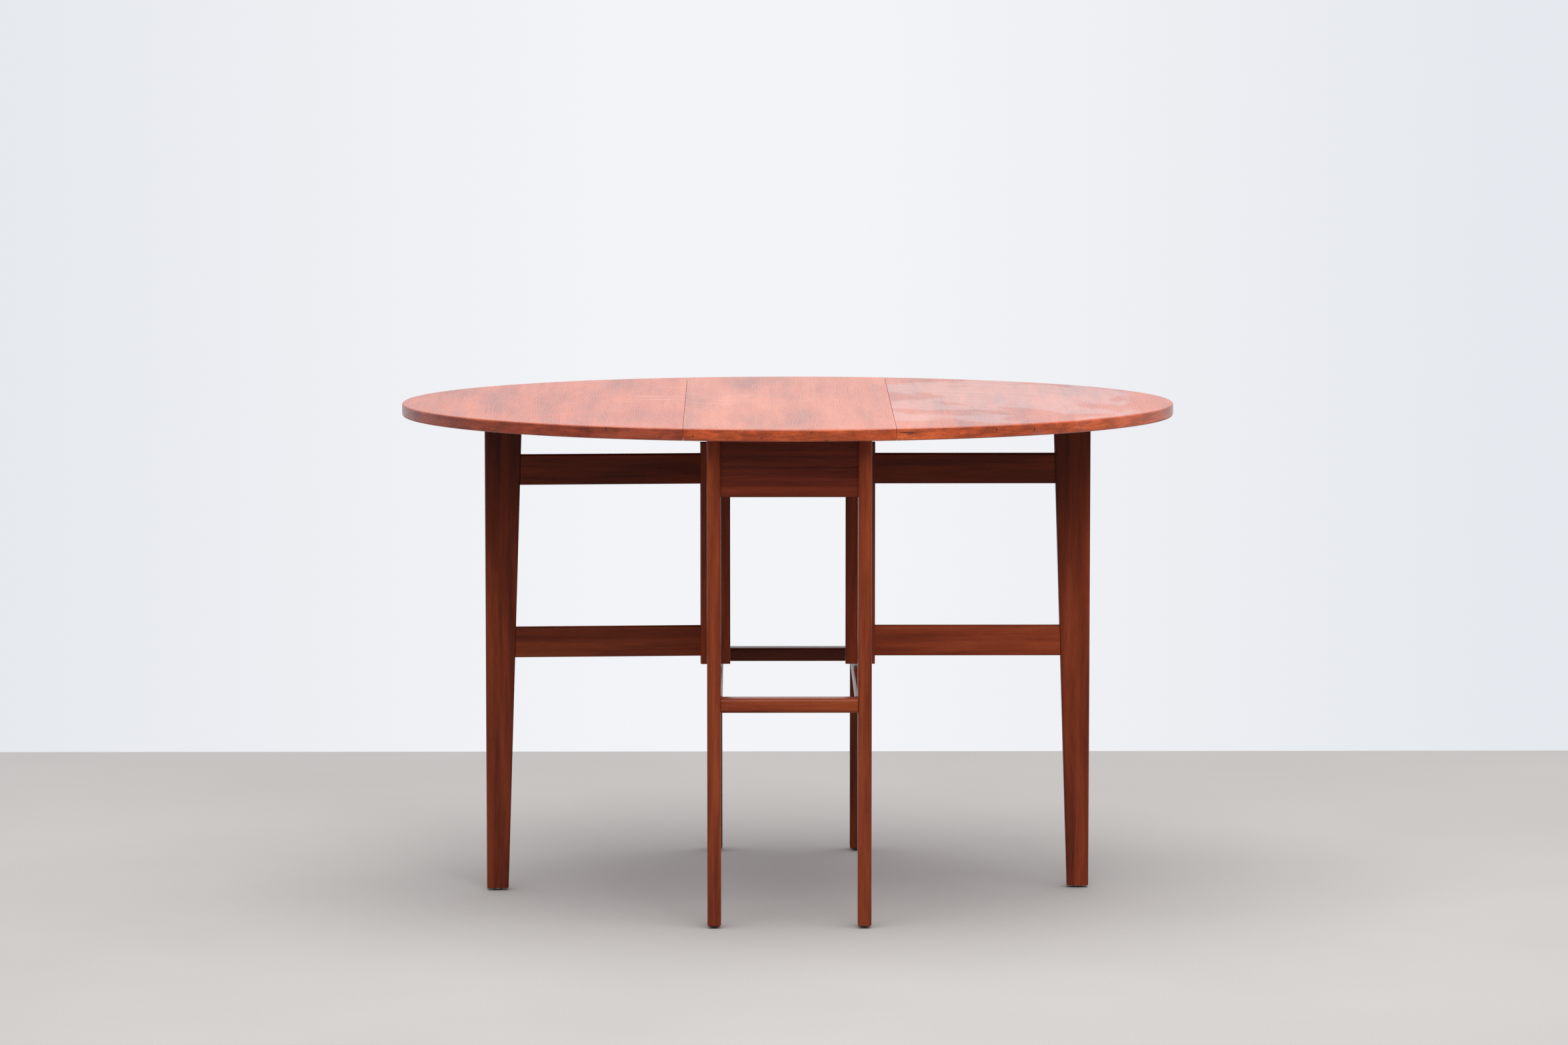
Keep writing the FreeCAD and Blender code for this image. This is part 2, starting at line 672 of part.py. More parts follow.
def gate_stop(name, side):
    """The block under a leaf that a gate swings against."""
    stop = member(name, "X",
                  (f"{side} * (pivot_x + {STOP_X})", f"{side} * {STOP_Y}", f"{UNDERSIDE} - stop_height / 2"),
                  ("stop_length", "stop_depth", "stop_height"), "rail_round")
    hole_x = f"{side} * (pivot_x + {STOP_X}) - stop_screw_pitch / 2"
    hole_y = f"{side} * {STOP_Y}"
    bottom = f"({UNDERSIDE} - stop_height)"
    bore = cylinder(stop, "Subtractive", "bore", (hole_x, hole_y, f"{bottom} - overcut"),
                    "screw_hole_radius", "stop_height + overcut * 2")
    cone = countersink(stop, "cone", (hole_x, hole_y, bottom), "countersink_radius - screw_hole_radius")
    doc.recompute()
    repeat(stop, [bore, cone], [("X_Axis", "stop_screw_pitch", 2)])


def make_gates():
    make_gate("left", -1)
    make_gate("right", 1)
    screw_set("stop_screws", f"pivot_x + {STOP_X} - stop_screw_pitch / 2", STOP_Y,
              f"{UNDERSIDE} - stop_height + head_sunk", f"{UNDERSIDE} + screw_in_wood",
              [("X_Axis", "stop_screw_pitch", 2), "half turn"])


# ---------------------------------------------------------------- hinges

def place_hinge(body, side, end):
    """Move a piece drawn about a hinge's axis, with local +X towards its leaf, to its place."""
    body.Placement.Rotation = FreeCAD.Rotation(Vector(0, 0, 1), 0 if side > 0 else 180)
    bind_point(body, "Placement.Base",
               (f"{side} * (seam_x + seam_gap / 2)", f"{end} * hinge_y", HINGE_AXIS_Z))


def hinge_plate(name, direction, width, screw_x, knuckles):
    """Half a hinge: a screwed plate, and its knuckles as pairs of start and end along the axis."""
    plate_z = "(hinge_drop - plate_thickness / 2)"
    inner = "(knuckle_radius + knuckle_clearance)"
    body = member(name, "Z", (f"{direction} * ({inner} + {width}) / 2", "0", plate_z),
                  (f"{width} - {inner}", "hinge_length", "plate_thickness"), "rail_round")
    for number, (start, end) in enumerate(knuckles, start=1):
        cylinder(body, "Additive", f"knuckle_{number}", ("0", start, "0"), "knuckle_radius",
                 f"{end} - ({start})", "Y")
        box(body, "Additive", f"web_{number}",
            (f"{direction} * ({inner} + rail_round) / 2", f"({start} + {end}) / 2", plate_z),
            (f"{inner} + rail_round", f"{end} - ({start})", "plate_thickness"))
    cylinder(body, "Subtractive", "pin_bore", ("0", "-hinge_length", "0"), "hinge_pin_radius + pin_clearance",
             "hinge_length * 2", "Y")
    first = (f"{direction} * {screw_x}", "-hinge_screw_pitch")
    bottom = "hinge_drop - plate_thickness"
    bore = cylinder(body, "Subtractive", "bore", (*first, f"{bottom} - overcut"), "screw_hole_radius",
                    "plate_thickness + overcut * 2")
    cone = countersink(body, "cone", (*first, bottom), "plate_thickness")
    doc.recompute()
    repeat(body, [bore, cone], [("Y_Axis", "hinge_screw_pitch * 2", 3)])
    return body


def make_hinges():
    leaf_knuckles = [("-knuckle_half", "knuckle_half")]
    outer = "(knuckle_half + knuckle_gap)"
    panel_knuckles = [("-hinge_length / 2", f"-{outer}"), (outer, "hinge_length / 2")]
    for side_name, side in (("left", -1), ("right", 1)):
        for end_name, end in (("front", -1), ("rear", 1)):
            name = f"{side_name}_{end_name}_hinge"
            panel_plate = hinge_plate(f"{name}_panel_plate", -1, "panel_plate_width", "panel_screw_x",
                                      panel_knuckles)
            leaf_plate = hinge_plate(f"{name}_leaf_plate", 1, "leaf_plate_width", "leaf_screw_x",
                                     leaf_knuckles)
            pin = new_body(f"{name}_pin")
            cylinder(pin, "Additive", "pin", ("0", "-hinge_length / 2 - hinge_pin_end", "0"),
                     "hinge_pin_radius", "hinge_length + hinge_pin_end * 2", "Y")
            for piece in (panel_plate, leaf_plate, pin):
                place_hinge(piece, side, end)

    screw_set("hinge_screws", "seam_x + seam_gap / 2 - panel_screw_x", FIRST_HINGE_SCREW_Y,
              f"{UNDERSIDE} - plate_thickness + hinge_head_sunk", f"{UNDERSIDE} + screw_in_wood",
              [HINGE_ROWS, ("X_Axis", "panel_screw_x + leaf_screw_x", 2), "XZ_Plane", "YZ_Plane"])


# ---------------------------------------------------------------- build, check and write

def check():
    """Stop if any object failed or any sub-part's shape is missing or broken."""
    doc.recompute()
    for item in doc.Objects:
        if "Invalid" in item.State or "Error" in item.State:
            raise RuntimeError(f"{item.Label} did not recompute: {item.State}")
    for piece in pieces:
        if piece.Shape.isNull() or not piece.Shape.isValid() or not piece.Shape.Solids:
            raise RuntimeError(f"{piece.Label} has no valid solid")


def write():
    """Write each sub-part to a file of its own."""
    os.makedirs("parts", exist_ok=True)
    for piece in pieces:
        piece.Shape.exportStep(f"parts/{piece.Label}.step")
        print(f"{piece.Label}: {len(piece.Shape.Solids)} solid(s), {piece.Shape.Volume / 1000:.1f} cm3")


make_top()
make_frame()
make_gates()
make_hinges()
check()
write()
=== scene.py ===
import json
import math

import bpy
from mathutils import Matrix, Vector

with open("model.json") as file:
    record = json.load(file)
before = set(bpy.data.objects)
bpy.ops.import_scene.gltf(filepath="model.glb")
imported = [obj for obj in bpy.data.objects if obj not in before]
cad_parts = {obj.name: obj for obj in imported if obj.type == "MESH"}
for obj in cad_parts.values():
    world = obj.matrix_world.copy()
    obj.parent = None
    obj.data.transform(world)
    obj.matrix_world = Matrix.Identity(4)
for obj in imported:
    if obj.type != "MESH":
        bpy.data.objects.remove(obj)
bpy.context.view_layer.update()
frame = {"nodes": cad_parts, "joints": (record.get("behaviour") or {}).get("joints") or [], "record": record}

NODES = frame["nodes"]
JOINTS = {joint["name"]: joint for joint in frame["joints"]}


# ---------------------------------------------------------------- shader building

class Nodes:
    """A node tree, and short ways to add nodes to it."""

    def __init__(self, tree):
        self.tree = tree

    def node(self, kind, **settings):
        """Add a node and set its own properties."""
        added = self.tree.nodes.new(f"ShaderNode{kind}")
        for key, setting in settings.items():
            setattr(added, key, setting)
        return added

    def feed(self, socket, source):
        """Link a source to a socket, or set the socket to a plain value."""
        if isinstance(source, bpy.types.NodeSocket):
            self.tree.links.new(source, socket)
        else:
            socket.default_value = source

    def math(self, operation, first, second=0.0, third=0.0):
        """One arithmetic step."""
        step = self.node("Math", operation=operation)
        for socket, source in zip(step.inputs, (first, second, third)):
            self.feed(socket, source)
        return step.outputs[0]

    def vector(self, operation, first, second=(0, 0, 0), third=(0, 0, 0)):
        """One step on vectors."""
        step = self.node("VectorMath", operation=operation)
        for socket, source in zip(step.inputs, (first, second, third)):
            self.feed(socket, source)
        return step.outputs[0]

    def split(self, vector):
        """The X, Y and Z of a vector."""
        parts = self.node("SeparateXYZ")
        self.feed(parts.inputs[0], vector)
        return parts.outputs

    def noise(self, vector, scale, detail=2.0, roughness=0.5, colour=False):
        """Noise, from 0 to 1, at one scale along each of three axes."""
        texture = self.node("TexNoise")
        self.feed(texture.inputs["Vector"], self.vector("MULTIPLY", vector, scale))
        texture.inputs["Scale"].default_value = 1.0
        texture.inputs["Detail"].default_value = detail
        texture.inputs["Roughness"].default_value = roughness
        return texture.outputs["Color" if colour else "Fac"]

    def between(self, value, low, high, out_low=0.0, out_high=1.0):
        """Map a range smoothly onto another, held at both ends."""
        step = self.node("MapRange", interpolation_type="SMOOTHSTEP", clamp=True)
        for socket, source in zip(step.inputs, (value, low, high, out_low, out_high)):
            self.feed(socket, source)
        return step.outputs[0]

    def patches(self, vector, scale, low, high, out_low=0.0, out_high=1.0, detail=2.0, roughness=0.5):
        """Noise sharpened into patches: out_low where it is under low, out_high where it is over high."""
        return self.between(self.noise(vector, scale, detail, roughness), low, high, out_low, out_high)

    def ramp(self, value, stops):
        """A colour ramp from (position, colour) stops."""
        step = self.node("ValToRGB")
        elements = step.color_ramp.elements
        while len(elements) < len(stops):
            elements.new(0.5)
        for element, (position, colour) in zip(elements, stops):
            element.position = position
            element.color = (*colour, 1)
        self.feed(step.inputs[0], value)
        return step.outputs[0]

    def mix(self, factor, first, second, blend="MIX"):
        """Mix two colours."""
        step = self.node("Mix", data_type="RGBA", blend_type=blend)
        self.feed(step.inputs["Factor"], factor)
        for socket, source in ((step.inputs[6], first), (step.inputs[7], second)):
            self.feed(socket, (*source, 1) if isinstance(source, tuple) else source)
        return step.outputs[2]


class Shader(Nodes):
    """The nodes of a new material, round its Principled shader."""

    def __init__(self, name):
        self.material = bpy.data.materials.new(name)
        self.material.use_nodes = True
        super().__init__(self.material.node_tree)
        self.principled = self.tree.nodes["Principled BSDF"]

    def bump(self, height, distance, strength):
        """Relief from a height; the distance is in metres for each 1 of height."""
        step = self.node("Bump")
        step.inputs["Strength"].default_value = strength
        step.inputs["Distance"].default_value = distance
        self.feed(step.inputs["Height"], height)
        self.feed(self.principled.inputs["Normal"], step.outputs[0])


# ---------------------------------------------------------------- wood

# Which of a piece's own axes run across, through and along its grain
GRAIN_ORDER = {"X": ("Y", "Z", "X"), "Y": ("X", "Z", "Y"), "Z": ("X", "Y", "Z")}

# Open pores are long along the grain: their noise's scale across, through and along it
PORE_SCALE = (1500, 1500, 70)

# How steeply the growth lines cross an end, as steps across for each step through
END_SLOPE = 3.0

# How far apart the pieces' patterns lie in the noise, for each step of their seed
SEED_STEP = (0.173, 0.291, 0.619)


def grain_space(shader, along, seed, turn):
    """A piece's place, turned with it, and the same with Z along the grain and moved by the seed."""
    place = shader.node("TexCoord").outputs["Object"]
    if turn:
        spin = shader.node("VectorRotate", rotation_type="Z_AXIS")
        shader.feed(spin.inputs["Vector"], place)
        spin.inputs["Angle"].default_value = turn
        place = spin.outputs[0]
    parts = shader.split(place)
    joined = shader.node("CombineXYZ")
    for socket, axis in zip(joined.inputs, GRAIN_ORDER[along]):
        shader.feed(socket, parts[axis])
    step = tuple(seed * part for part in SEED_STEP)
    return place, shader.vector("ADD", joined.outputs[0], step)


def warp(shader, grain, scale, reach, detail=1.0):
    """Coordinates pushed sideways by noise, by up to about a third of the reach."""
    push = shader.vector("SUBTRACT", shader.noise(grain, scale, detail, colour=True), (0.5, 0.5, 0.5))
    return shader.vector("MULTIPLY_ADD", push, (reach, reach, 0), grain)


def growth_lines(shader, grain, pitch):
    """Thin lines along the grain, unevenly spaced and broken; on an end they lie at a shallow slope."""
    parts = shader.split(grain)
    across = shader.math("MULTIPLY_ADD", parts["Y"], END_SLOPE, parts["X"])
    spacing = shader.noise(grain, (35, 35, 1.5), 2.0)
    turns = shader.math("MULTIPLY_ADD", spacing, 6.0, shader.math("DIVIDE", across, pitch))
    away = shader.math("ABSOLUTE", shader.math("SUBTRACT", shader.math("FRACT", turns), 0.5))
    line = shader.between(away, 0.02, 0.24, 1.0, 0.0)
    broken = shader.patches(grain, (70, 70, 7), 0.32, 0.62, 0.2)
    return shader.math("MULTIPLY", line, broken)


def wood(name, along, seed, colours, figure, turn=0.0, wear_and_painted_light=None):
    """Finished hardwood: clouds of tone, growth lines, fibres and open pores, all along one grain.

    colours are the dark, middle and light tones. wear, if given, changes the colour, partly with painted
    light and shade, and adds marks.
    """
    shader = Shader(name)
    place, grain = grain_space(shader, along, seed, turn)
    wavy = warp(shader, warp(shader, grain, *figure["ripple"]), *figure["drift"])

    cloud = shader.noise(wavy, figure["cloud_scale"], 2.0, 0.55)
    streak = shader.noise(wavy, figure["streak_scale"], 3.0, 0.6)
    fibre = shader.noise(wavy, figure["fibre_scale"], 3.0, 0.7)
    line = growth_lines(shader, wavy, figure["line_pitch"])
    pore = shader.patches(wavy, PORE_SCALE, 0.58, 0.70, detail=1.0)

    shade = shader.math("MULTIPLY_ADD", shader.math("SUBTRACT", cloud, 0.5), figure["cloud"], 0.5)
    shade = shader.math("MULTIPLY_ADD", shader.math("SUBTRACT", streak, 0.5), figure["streak"], shade)
    shade = shader.math("MULTIPLY_ADD", shader.math("SUBTRACT", fibre, 0.5), figure["fibre"], shade)
    shade = shader.math("MULTIPLY_ADD", line, -figure["line"], shade)
    dark, middle, light = colours
    colour = shader.ramp(shade, [(0.0, tuple(part * 0.5 for part in dark)), (0.2, dark), (0.5, middle),
                                 (0.85, light)])
    pore_colour = tuple(part * 0.4 for part in dark)
    colour = shader.mix(shader.math("MULTIPLY", pore, figure["pore"]), colour, pore_colour)

    rough = shader.math("MULTIPLY_ADD", fibre, 0.16, figure["roughness"] - 0.08)
    rough = shader.math("MULTIPLY_ADD", line, 0.05, rough)
    rough = shader.math("MULTIPLY_ADD", pore, 0.15, rough)
    # The gloss comes first, so that a wear can vary it
    shader.principled.inputs["Specular IOR Level"].default_value = figure["specular"]
    if wear_and_painted_light:
        colour = wear_and_painted_light(shader, place, colour)
    shader.feed(shader.principled.inputs["Base Color"], colour)
    shader.feed(shader.principled.inputs["Roughness"], rough)
    relief = shader.math("MULTIPLY_ADD", pore, -1.0, shader.math("MULTIPLY", fibre, 0.4))
    shader.bump(shader.math("MULTIPLY_ADD", line, -0.1, relief), 0.0001, 0.28)
    return shader.material


def dress(node, material):
    """Give a CAD node its material."""
    mesh = NODES[node].data
    mesh.materials.clear()
    mesh.materials.append(material)


# ---------------------------------------------------------------- the top

TOP_FIGURE = {
    "ripple": ((6, 6, 9.5), 0.0019), "drift": ((4, 4, 4), 0.012),
    "cloud_scale": (17, 17, 3.0), "cloud": 0.85,
    "streak_scale": (75, 75, 2.5), "streak": 0.40,
    "fibre_scale": (650, 650, 9), "fibre": 0.45,
    "line_pitch": 0.0034, "line": 0.075,
    "pore": 0.22, "roughness": 0.25, "specular": 0.5,
}
TOP_COLOURS = ((0.20, 0.032, 0.012), (0.375, 0.067, 0.021), (0.50, 0.118, 0.040))

# How each board differs in colour from the left leaf, and its edge from its face (the edge partly painted
# light and shade)
BOARD_TINTS = {"left_leaf": (0.98, 0.88, 0.75), "centre_panel": (1.04, 1.16, 1.35),
               "right_leaf": (1.03, 1.05, 1.15)}
EDGE_TONE_AND_PAINTED_LIGHT = {"left_leaf": (0.78, 0.76, 1.05), "centre_panel": (1.18, 0.92, 0.55),
              "right_leaf": (1.36, 1.22, 0.88)}

# The pale film that wiping left on the right leaf: its middle, its half size, and its strokes' pitch
FILM_CENTRE = (0.27, 0.01, 0)
FILM_HALF = (0.25, 0.31, 0)
FILM_PITCH = 0.035
# How dense it is across a stroke, as places from 0 to 1 and densities
FILM_STROKE = ((0.0, 0.7), (0.4, 0.8), (0.85, 1.0), (1.0, 0.7))
# It is mostly an extra gloss, with a little pale colour: partly dust, partly a painted sheen
FILM_GLOSS = 0.50
FILM_ROUGHNESS = 0.25
FILM_DUST_AND_PAINTED_SHEEN = 0.08
FILM_COLOUR = (0.44, 0.37, 0.39)

# Scratches and specks: the scratched area's middle and half size, and how much the marks cover
SCRATCHED_CENTRE = (-0.15, 0.09, 0)
SCRATCHED_HALF = (0.12, 0.13, 0)
SCRATCH_COLOUR = (0.88, 0.72, 0.66)
SCRATCH_COVER = 0.32

# Marks in the front edge: the crack by the right seam, and nicks, as X and Z of the middle, half size
# and slant
CRACK = ((0.168, 0.7235), (0.0135, 0.0011), -0.05)
NICKS = (((0.173, 0.7215), (0.006, 0.0008), 0.25), ((0.2965, 0.7235), (0.0012, 0.0032), 0.3),
         ((0.352, 0.7215), (0.0010, 0.0030), 0.5), ((-0.040, 0.7170), (0.0013, 0.0013), 0.0),
         ((-0.138, 0.7190), (0.0011, 0.0014), 0.0), ((0.052, 0.7135), (0.0035, 0.0010), 0.1),
         ((-0.262, 0.7270), (0.0012, 0.0040), 0.2), ((0.031, 0.7245), (0.0010, 0.0010), 0.0))
MARK_COLOUR = (0.055, 0.014, 0.008)
MARK_COVER = 0.8


def reach(shader, place, middle, half):
    """How far out a place lies from a middle, in multiples of a half size."""
    scaled = shader.vector("MULTIPLY", shader.vector("SUBTRACT", place, middle),
                           tuple(1 / part if part else 0 for part in half))
    length = shader.node("VectorMath", operation="LENGTH")
    shader.feed(length.inputs[0], scaled)
    return length.outputs["Value"]


def inside(shader, place, middle, half, soft):
    """1 inside an oval about a middle, fading to 0 over a soft rim."""
    return shader.between(reach(shader, place, middle, half), 1 - soft, 1 + soft, 1.0, 0.0)


def film(shader, place):
    """The wiped film: broad strokes round the leaf, patchy, with a clear rim."""
    bent = warp(shader, place, (4, 4, 4), 0.20, 4.0)
    turn = shader.math("MULTIPLY", reach(shader, bent, FILM_CENTRE, FILM_HALF), FILM_HALF[0] / FILM_PITCH)
    stops = [(position, (density, density, density)) for position, density in FILM_STROKE]
    stroke = shader.ramp(shader.math("FRACT", turn), stops)
    patch = shader.patches(bent, (7, 4, 7), 0.45, 0.50, 0.10, roughness=0.6)
    leaf = inside(shader, bent, FILM_CENTRE, FILM_HALF, 0.07)
    board = shader.between(shader.split(place)["X"], 0.1525, 0.1535)
    return shader.math("MULTIPLY", shader.math("MULTIPLY", stroke, patch),
                       shader.math("MULTIPLY", leaf, board))


def edge_marks(shader, place):
    """The crack and the nicks in the front edge."""
    jagged = warp(shader, place, (260, 260, 260), 0.004, 2.0)
    parts = shader.split(jagged)
    total = None
    for (x, z), (half_x, half_z), slant in (CRACK, *NICKS):
        across = shader.math("SUBTRACT", parts["X"], x)
        up = shader.math("SUBTRACT", parts["Z"], z)
        up = shader.math("MULTIPLY_ADD", across, -slant, up)
        flat = shader.node("CombineXYZ")
        shader.feed(flat.inputs[0], across)
        shader.feed(flat.inputs[1], up)
        mark = inside(shader, flat.outputs[0], (0, 0, 0), (half_x, half_z, 0), 0.4)
        total = mark if total is None else shader.math("MAXIMUM", total, mark)
    front = shader.between(parts["Y"], -0.25, -0.24, 1.0, 0.0)
    return shader.math("MULTIPLY", total, front)


def edge_figure(shader, place):
    """How light the edge is from place to place: broad patches, thin layers and grit."""
    patch = shader.patches(place, (20, 20, 90), 0.36, 0.64, 0.76, 1.18, roughness=0.6)
    layer = shader.patches(place, (45, 45, 800), 0.34, 0.64, 0.74, 1.10, detail=3.0, roughness=0.6)
    grit = shader.patches(place, (700, 700, 1000), 0.34, 0.62, 0.80, 1.06, roughness=0.7)
    return shader.math("MULTIPLY", shader.math("MULTIPLY", patch, layer), grit)


def scratches(shader, place):
    """Light scratches across the grain by the left seam, and specks all over."""
    bent = warp(shader, place, (4, 4, 4), 0.04, 2.0)
    smear = shader.patches(bent, (9, 170, 9), 0.53, 0.70, detail=3.0, roughness=0.65)
    rubbed = shader.patches(place, (16, 28, 16), 0.46, 0.62, detail=1.0)
    area = inside(shader, place, SCRATCHED_CENTRE, SCRATCHED_HALF, 0.45)
    scratch = shader.math("MULTIPLY", shader.math("MULTIPLY", smear, rubbed), area)
    speck = shader.patches(place, (330, 330, 330), 0.765, 0.79, detail=1.0)
    return shader.math("MAXIMUM", scratch, speck)


def top_wear_and_painted_light(board):
    """A board's tint and its edge's (partly painted light and shade), with the film, the scratches and the
    marks in the edge.
    """

    def wear_and_painted_light(shader, place, colour):
        normal = shader.node("NewGeometry").outputs["Normal"]
        edge = shader.between(shader.math("ABSOLUTE", shader.split(normal)["Z"]), 0.35, 0.9, 1.0, 0.0)
        colour = shader.mix(1.0, colour, BOARD_TINTS[board], "MULTIPLY")
        # The edge's tint: partly its own tone, partly painted light and shade
        colour = shader.mix(edge, colour, EDGE_TONE_AND_PAINTED_LIGHT[board], "MULTIPLY")
        colour = shader.mix(edge, colour, edge_figure(shader, place), "MULTIPLY")

        haze = film(shader, place)
        gloss = shader.math("MULTIPLY", haze, FILM_GLOSS)
        shader.feed(shader.principled.inputs["Coat Weight"], gloss)
        shader.principled.inputs["Coat Roughness"].default_value = FILM_ROUGHNESS
        # A little pale colour: partly dust, partly a painted sheen
        colour = shader.mix(shader.math("MULTIPLY", haze, FILM_DUST_AND_PAINTED_SHEEN), colour, FILM_COLOUR)

        light = shader.math("MULTIPLY", scratches(shader, place), SCRATCH_COVER)
        colour = shader.mix(light, colour, SCRATCH_COLOUR)
        dark = shader.math("MULTIPLY", shader.math("MULTIPLY", edge_marks(shader, place), edge), MARK_COVER)
        return shader.mix(dark, colour, MARK_COLOUR)

    return wear_and_painted_light


def make_top():
    for seed, node in enumerate(("left_leaf", "centre_panel", "right_leaf"), start=1):
        dress(node, wood(f"{node}_wood", "Y", seed * 3.1, TOP_COLOURS, TOP_FIGURE, wear_and_painted_light=top_wear_and_painted_light(node)))


# ---------------------------------------------------------------- frame and gates

FRAME_FIGURE = {
    "ripple": ((14, 14, 12), 0.002), "drift": ((6, 6, 2), 0.014),
    "cloud_scale": (46, 46, 3.5), "cloud": 1.05,
    "streak_scale": (160, 160, 5), "streak": 0.35,
    "fibre_scale": (520, 520, 28), "fibre": 0.42,
    "line_pitch": 0.0042, "line": 0.06,
    "pore": 0.22, "roughness": 0.24, "specular": 0.14,
}
APRON_FIGURE = FRAME_FIGURE | {
    "cloud_scale": (40, 40, 1.2), "cloud": 1.5,
    "streak_scale": (110, 110, 1.5), "streak": 0.6,
}
FRAME_COLOURS = ((0.095, 0.014, 0.006), (0.203, 0.035, 0.011), (0.32, 0.070, 0.018))
# The apron and top rails are darker than the frame: partly their own tone, partly painted shade under the
# top
APRON_COLOURS = ((0.050, 0.0070, 0.003), (0.128, 0.0190, 0.008), (0.21, 0.039, 0.015))
GATE_COLOURS = ((0.085, 0.013, 0.004), (0.190, 0.031, 0.010), (0.30, 0.060, 0.019))

# Pieces that are lighter or darker than the rest of their set: partly own tone, partly painted light and
# shade
PIECE_TONE_AND_PAINTED_LIGHT = {
    "left_gate_upper_rail": 0.95, "left_gate_lower_rail": 0.70, "left_gate_leg": 0.85,
    "right_gate_upper_rail": 0.98, "right_gate_lower_rail": 1.35, "right_gate_leg": 1.05,
    "rear_left_leg": 0.70, "rear_right_leg": 0.70,
    "front_stretcher": 1.05, "rear_stretcher": 0.40,
}

# Painted shade under a gate's leaf: between which heights it deepens, and the tone at the upper one
SHADE_HEIGHTS = (0.40, 0.69)
SHADE_TONE = 0.60


def shaded(colours, node):
    """A set's colours, made lighter or darker for one piece, partly as painted light and shade."""
    return tuple(tuple(part * PIECE_TONE_AND_PAINTED_LIGHT.get(node, 1) for part in colour) for colour in colours)


def make_frame():
    pieces = []
    for side in ("left", "right"):
        pieces += [(f"front_{side}_leg", "Z"), (f"rear_{side}_leg", "Z"), (f"{side}_stretcher", "Y"),
                   (f"{side}_gate_stop", "X")]
    pieces += [("front_stretcher", "X"), ("rear_stretcher", "X")]
    for seed, (node, along) in enumerate(pieces, start=11):
        dress(node, wood(f"{node}_wood", along, seed * 1.7, shaded(FRAME_COLOURS, node),
                         FRAME_FIGURE))
    for seed, (node, along) in enumerate((("front_apron", "X"), ("rear_apron", "X"),
                                          ("left_top_rail", "Y"), ("right_top_rail", "Y")), start=31):
        dress(node, wood(f"{node}_wood", along, seed * 1.7, APRON_COLOURS, APRON_FIGURE))


def painted_leaf_shade(shader, place, colour):
    """Painted shade darkens a gate high up, under its leaf; its wood is dull where it faces upwards."""
    painted_shade = shader.between(shader.split(place)["Z"], *SHADE_HEIGHTS, 1.0, SHADE_TONE)
    normal = shader.node("NewGeometry").outputs["Normal"]
    gloss = shader.between(shader.split(normal)["Z"], 0.5, 0.9, FRAME_FIGURE["specular"], 0.0)
    shader.feed(shader.principled.inputs["Specular IOR Level"], gloss)
    return shader.mix(1.0, colour, painted_shade, "MULTIPLY")


def make_gates():
    # A gate that rests short of its stop is turned about its pivot by that much
    for side, number in (("left", 41), ("right", 51)):
        turn = math.radians(JOINTS[f"{side}_gate_swing"]["range_deg"][0])
        pieces = ((f"{side}_gate_stile", "Z"), (f"{side}_gate_upper_rail", "X"),
                  (f"{side}_gate_lower_rail", "X"), (f"{side}_gate_leg", "Z"))
        # Each gate piece gets the painted shade under its leaf
        for seed, (node, along) in enumerate(pieces, start=number):
            dress(node, wood(f"{node}_wood", along, seed * 1.3, shaded(GATE_COLOURS, node),
                             FRAME_FIGURE, turn=turn, wear_and_painted_light=painted_leaf_shade))


# ---------------------------------------------------------------- metal

def metal(name, colour, stain, roughness):
    """Used metal: fine scratches, a stain in patches and a roughness that varies with it."""
    shader = Shader(name)
    place = shader.node("TexCoord").outputs["Object"]
    patch = shader.patches(place, (260, 260, 260), 0.42, 0.68, detail=4.0, roughness=0.6)
    scratch = shader.noise(place, (300, 4000, 300), 2.0)
    tint = shader.mix(shader.math("MULTIPLY", patch, 0.7), colour, stain)
    tint = shader.mix(shader.math("MULTIPLY", scratch, 0.18), tint, tuple(part * 0.6 for part in colour))
    shader.feed(shader.principled.inputs["Base Color"], tint)
    shader.principled.inputs["Metallic"].default_value = 1.0
    rough = shader.math("MULTIPLY_ADD", patch, 0.25, roughness)
    shader.feed(shader.principled.inputs["Roughness"], shader.math("MULTIPLY_ADD", scratch, 0.08, rough))
    shader.bump(shader.math("ADD", scratch, patch), 0.00004, 0.5)
    return shader.material


def make_metal():
    brass = metal("aged_brass", (0.62, 0.44, 0.20), (0.24, 0.15, 0.07), 0.30)
    steel = metal("bright_steel", (0.56, 0.55, 0.54), (0.30, 0.27, 0.25), 0.28)
    glide = metal("worn_glide_steel", (0.34, 0.32, 0.31), (0.12, 0.09, 0.07), 0.38)
    slots = {"brass": brass, "steel": steel, "glide_steel": glide}
    for part in frame["record"]["subparts"]:
        if part["material_slot"] in slots:
            dress(part["node"], slots[part["material_slot"]])


# ---------------------------------------------------------------- floor, light and camera

# How far the floor reaches behind the table, to the foot of the wall, and every other way
FLOOR_BACK = 1.35
FLOOR_REACH = 7.0
FLOOR_COLOURS = ((0.34, 0.323, 0.31), (0.41, 0.387, 0.372))

# The room's colours, and where one passes into the next, along X, Y or Z of the way to it
WALL_MIDDLE = (0.90, 0.905, 0.93)
WALL_COLOUR = (0.79, 0.815, 0.86)
WALL_MIDDLE_TO_SIDE = (0.0, 0.13)
FRONT_COLOUR = (0.26, 0.265, 0.28)
FRONT_TO_WALL = (-0.5, 0.3)
SKY_COLOUR = (1.0, 1.02, 1.05)
WALL_TO_SKY = (0.12, 0.50)
FLOOR_GLOW = (0.45, 0.43, 0.41)
FLOOR_TO_WALL = (-0.156, -0.152)


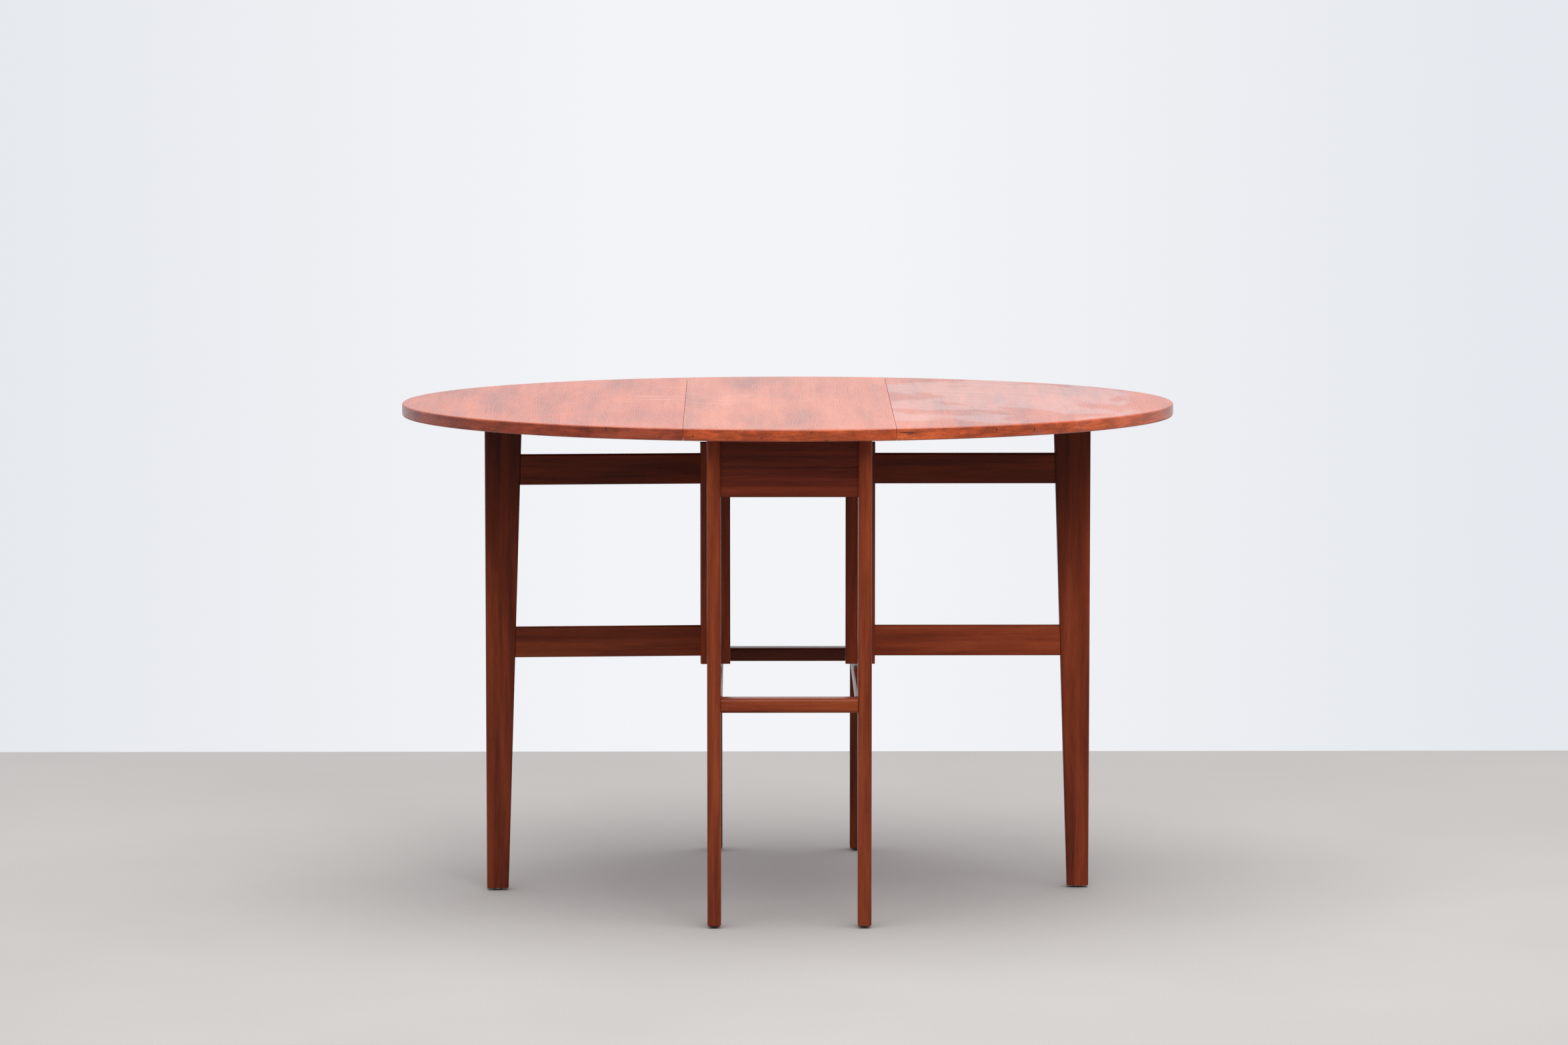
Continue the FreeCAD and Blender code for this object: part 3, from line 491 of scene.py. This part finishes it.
def make_floor():
    mesh = bpy.data.meshes.new("floor")
    corners = [(-FLOOR_REACH, -FLOOR_REACH, 0), (FLOOR_REACH, -FLOOR_REACH, 0),
               (FLOOR_REACH, FLOOR_BACK, 0), (-FLOOR_REACH, FLOOR_BACK, 0)]
    mesh.from_pydata(corners, [], [(0, 1, 2, 3)])
    floor = bpy.data.objects.new("floor", mesh)
    bpy.context.scene.collection.objects.link(floor)
    shader = Shader("pale_floor")
    place = shader.node("TexCoord").outputs["Object"]
    cloud = shader.noise(place, (1.4, 1.4, 1.4), 3.0)
    grit = shader.noise(place, (420, 420, 420), 2.0)
    mixed = shader.math("MULTIPLY_ADD", shader.math("SUBTRACT", grit, 0.5), 1.2, cloud)
    shader.feed(shader.principled.inputs["Base Color"], shader.mix(mixed, *FLOOR_COLOURS))
    shader.principled.inputs["Roughness"].default_value = 0.9
    shader.principled.inputs["Specular IOR Level"].default_value = 0.1
    floor.data.materials.append(shader.material)


def area_light(name, place, target, size, power):
    """A soft box that the camera doesn't see."""
    light = bpy.data.lights.new(name, "AREA")
    light.shape = "RECTANGLE"
    light.size, light.size_y = size
    light.energy = power
    lamp = bpy.data.objects.new(name, light)
    bpy.context.scene.collection.objects.link(lamp)
    lamp.location = place
    lamp.rotation_euler = (Vector(target) - Vector(place)).to_track_quat("-Z", "Y").to_euler()
    lamp.visible_camera = False


def make_world():
    """A room: pale wall behind, dimmer in front, bright above, and the floor's glow below."""
    world = bpy.data.worlds.new("studio")
    bpy.context.scene.world = world
    world.use_nodes = True
    sky = Nodes(world.node_tree)
    way = sky.split(sky.node("TexCoord").outputs["Generated"])
    aside = sky.math("ABSOLUTE", way["X"])
    wall = sky.mix(sky.between(aside, *WALL_MIDDLE_TO_SIDE), WALL_MIDDLE, WALL_COLOUR)
    room = sky.mix(sky.between(way["Y"], *FRONT_TO_WALL), FRONT_COLOUR, wall)
    room = sky.mix(sky.between(way["Z"], *WALL_TO_SKY), room, SKY_COLOUR)
    room = sky.mix(sky.between(way["Z"], *FLOOR_TO_WALL), FLOOR_GLOW, room)
    sky.feed(sky.tree.nodes["Background"].inputs["Color"], room)


def make_light():
    make_world()
    area_light("overhead", place=(0.1, -0.4, 3.4), target=(0, 0, 0.3), size=(3.6, 3.2), power=116)
    area_light("front_key", place=(0.4, -2.4, 2.3), target=(0, 0, 0.4), size=(1.2, 1.2), power=22)


# The camera stands in front, a little left of the middle, and looks slightly down
CAMERA_PLACE = (-0.0686, -9.478, 1.6454)
CAMERA_PITCH = 6.5955
CAMERA_YAW = 0.3814
FOCAL_LENGTH = 147.2
SENSOR_WIDTH = 36


def make_camera():
    data = bpy.data.cameras.new("camera")
    data.sensor_width = SENSOR_WIDTH
    data.lens = FOCAL_LENGTH
    data.clip_end = 200
    camera = bpy.data.objects.new("camera", data)
    bpy.context.scene.collection.objects.link(camera)
    camera.location = CAMERA_PLACE
    camera.rotation_euler = (math.radians(90 - CAMERA_PITCH), 0, math.radians(-CAMERA_YAW))
    bpy.context.scene.camera = camera


make_camera()
make_top()
make_frame()
make_gates()
make_metal()
make_floor()
make_light()
bpy.context.scene.view_settings.view_transform = "Standard"
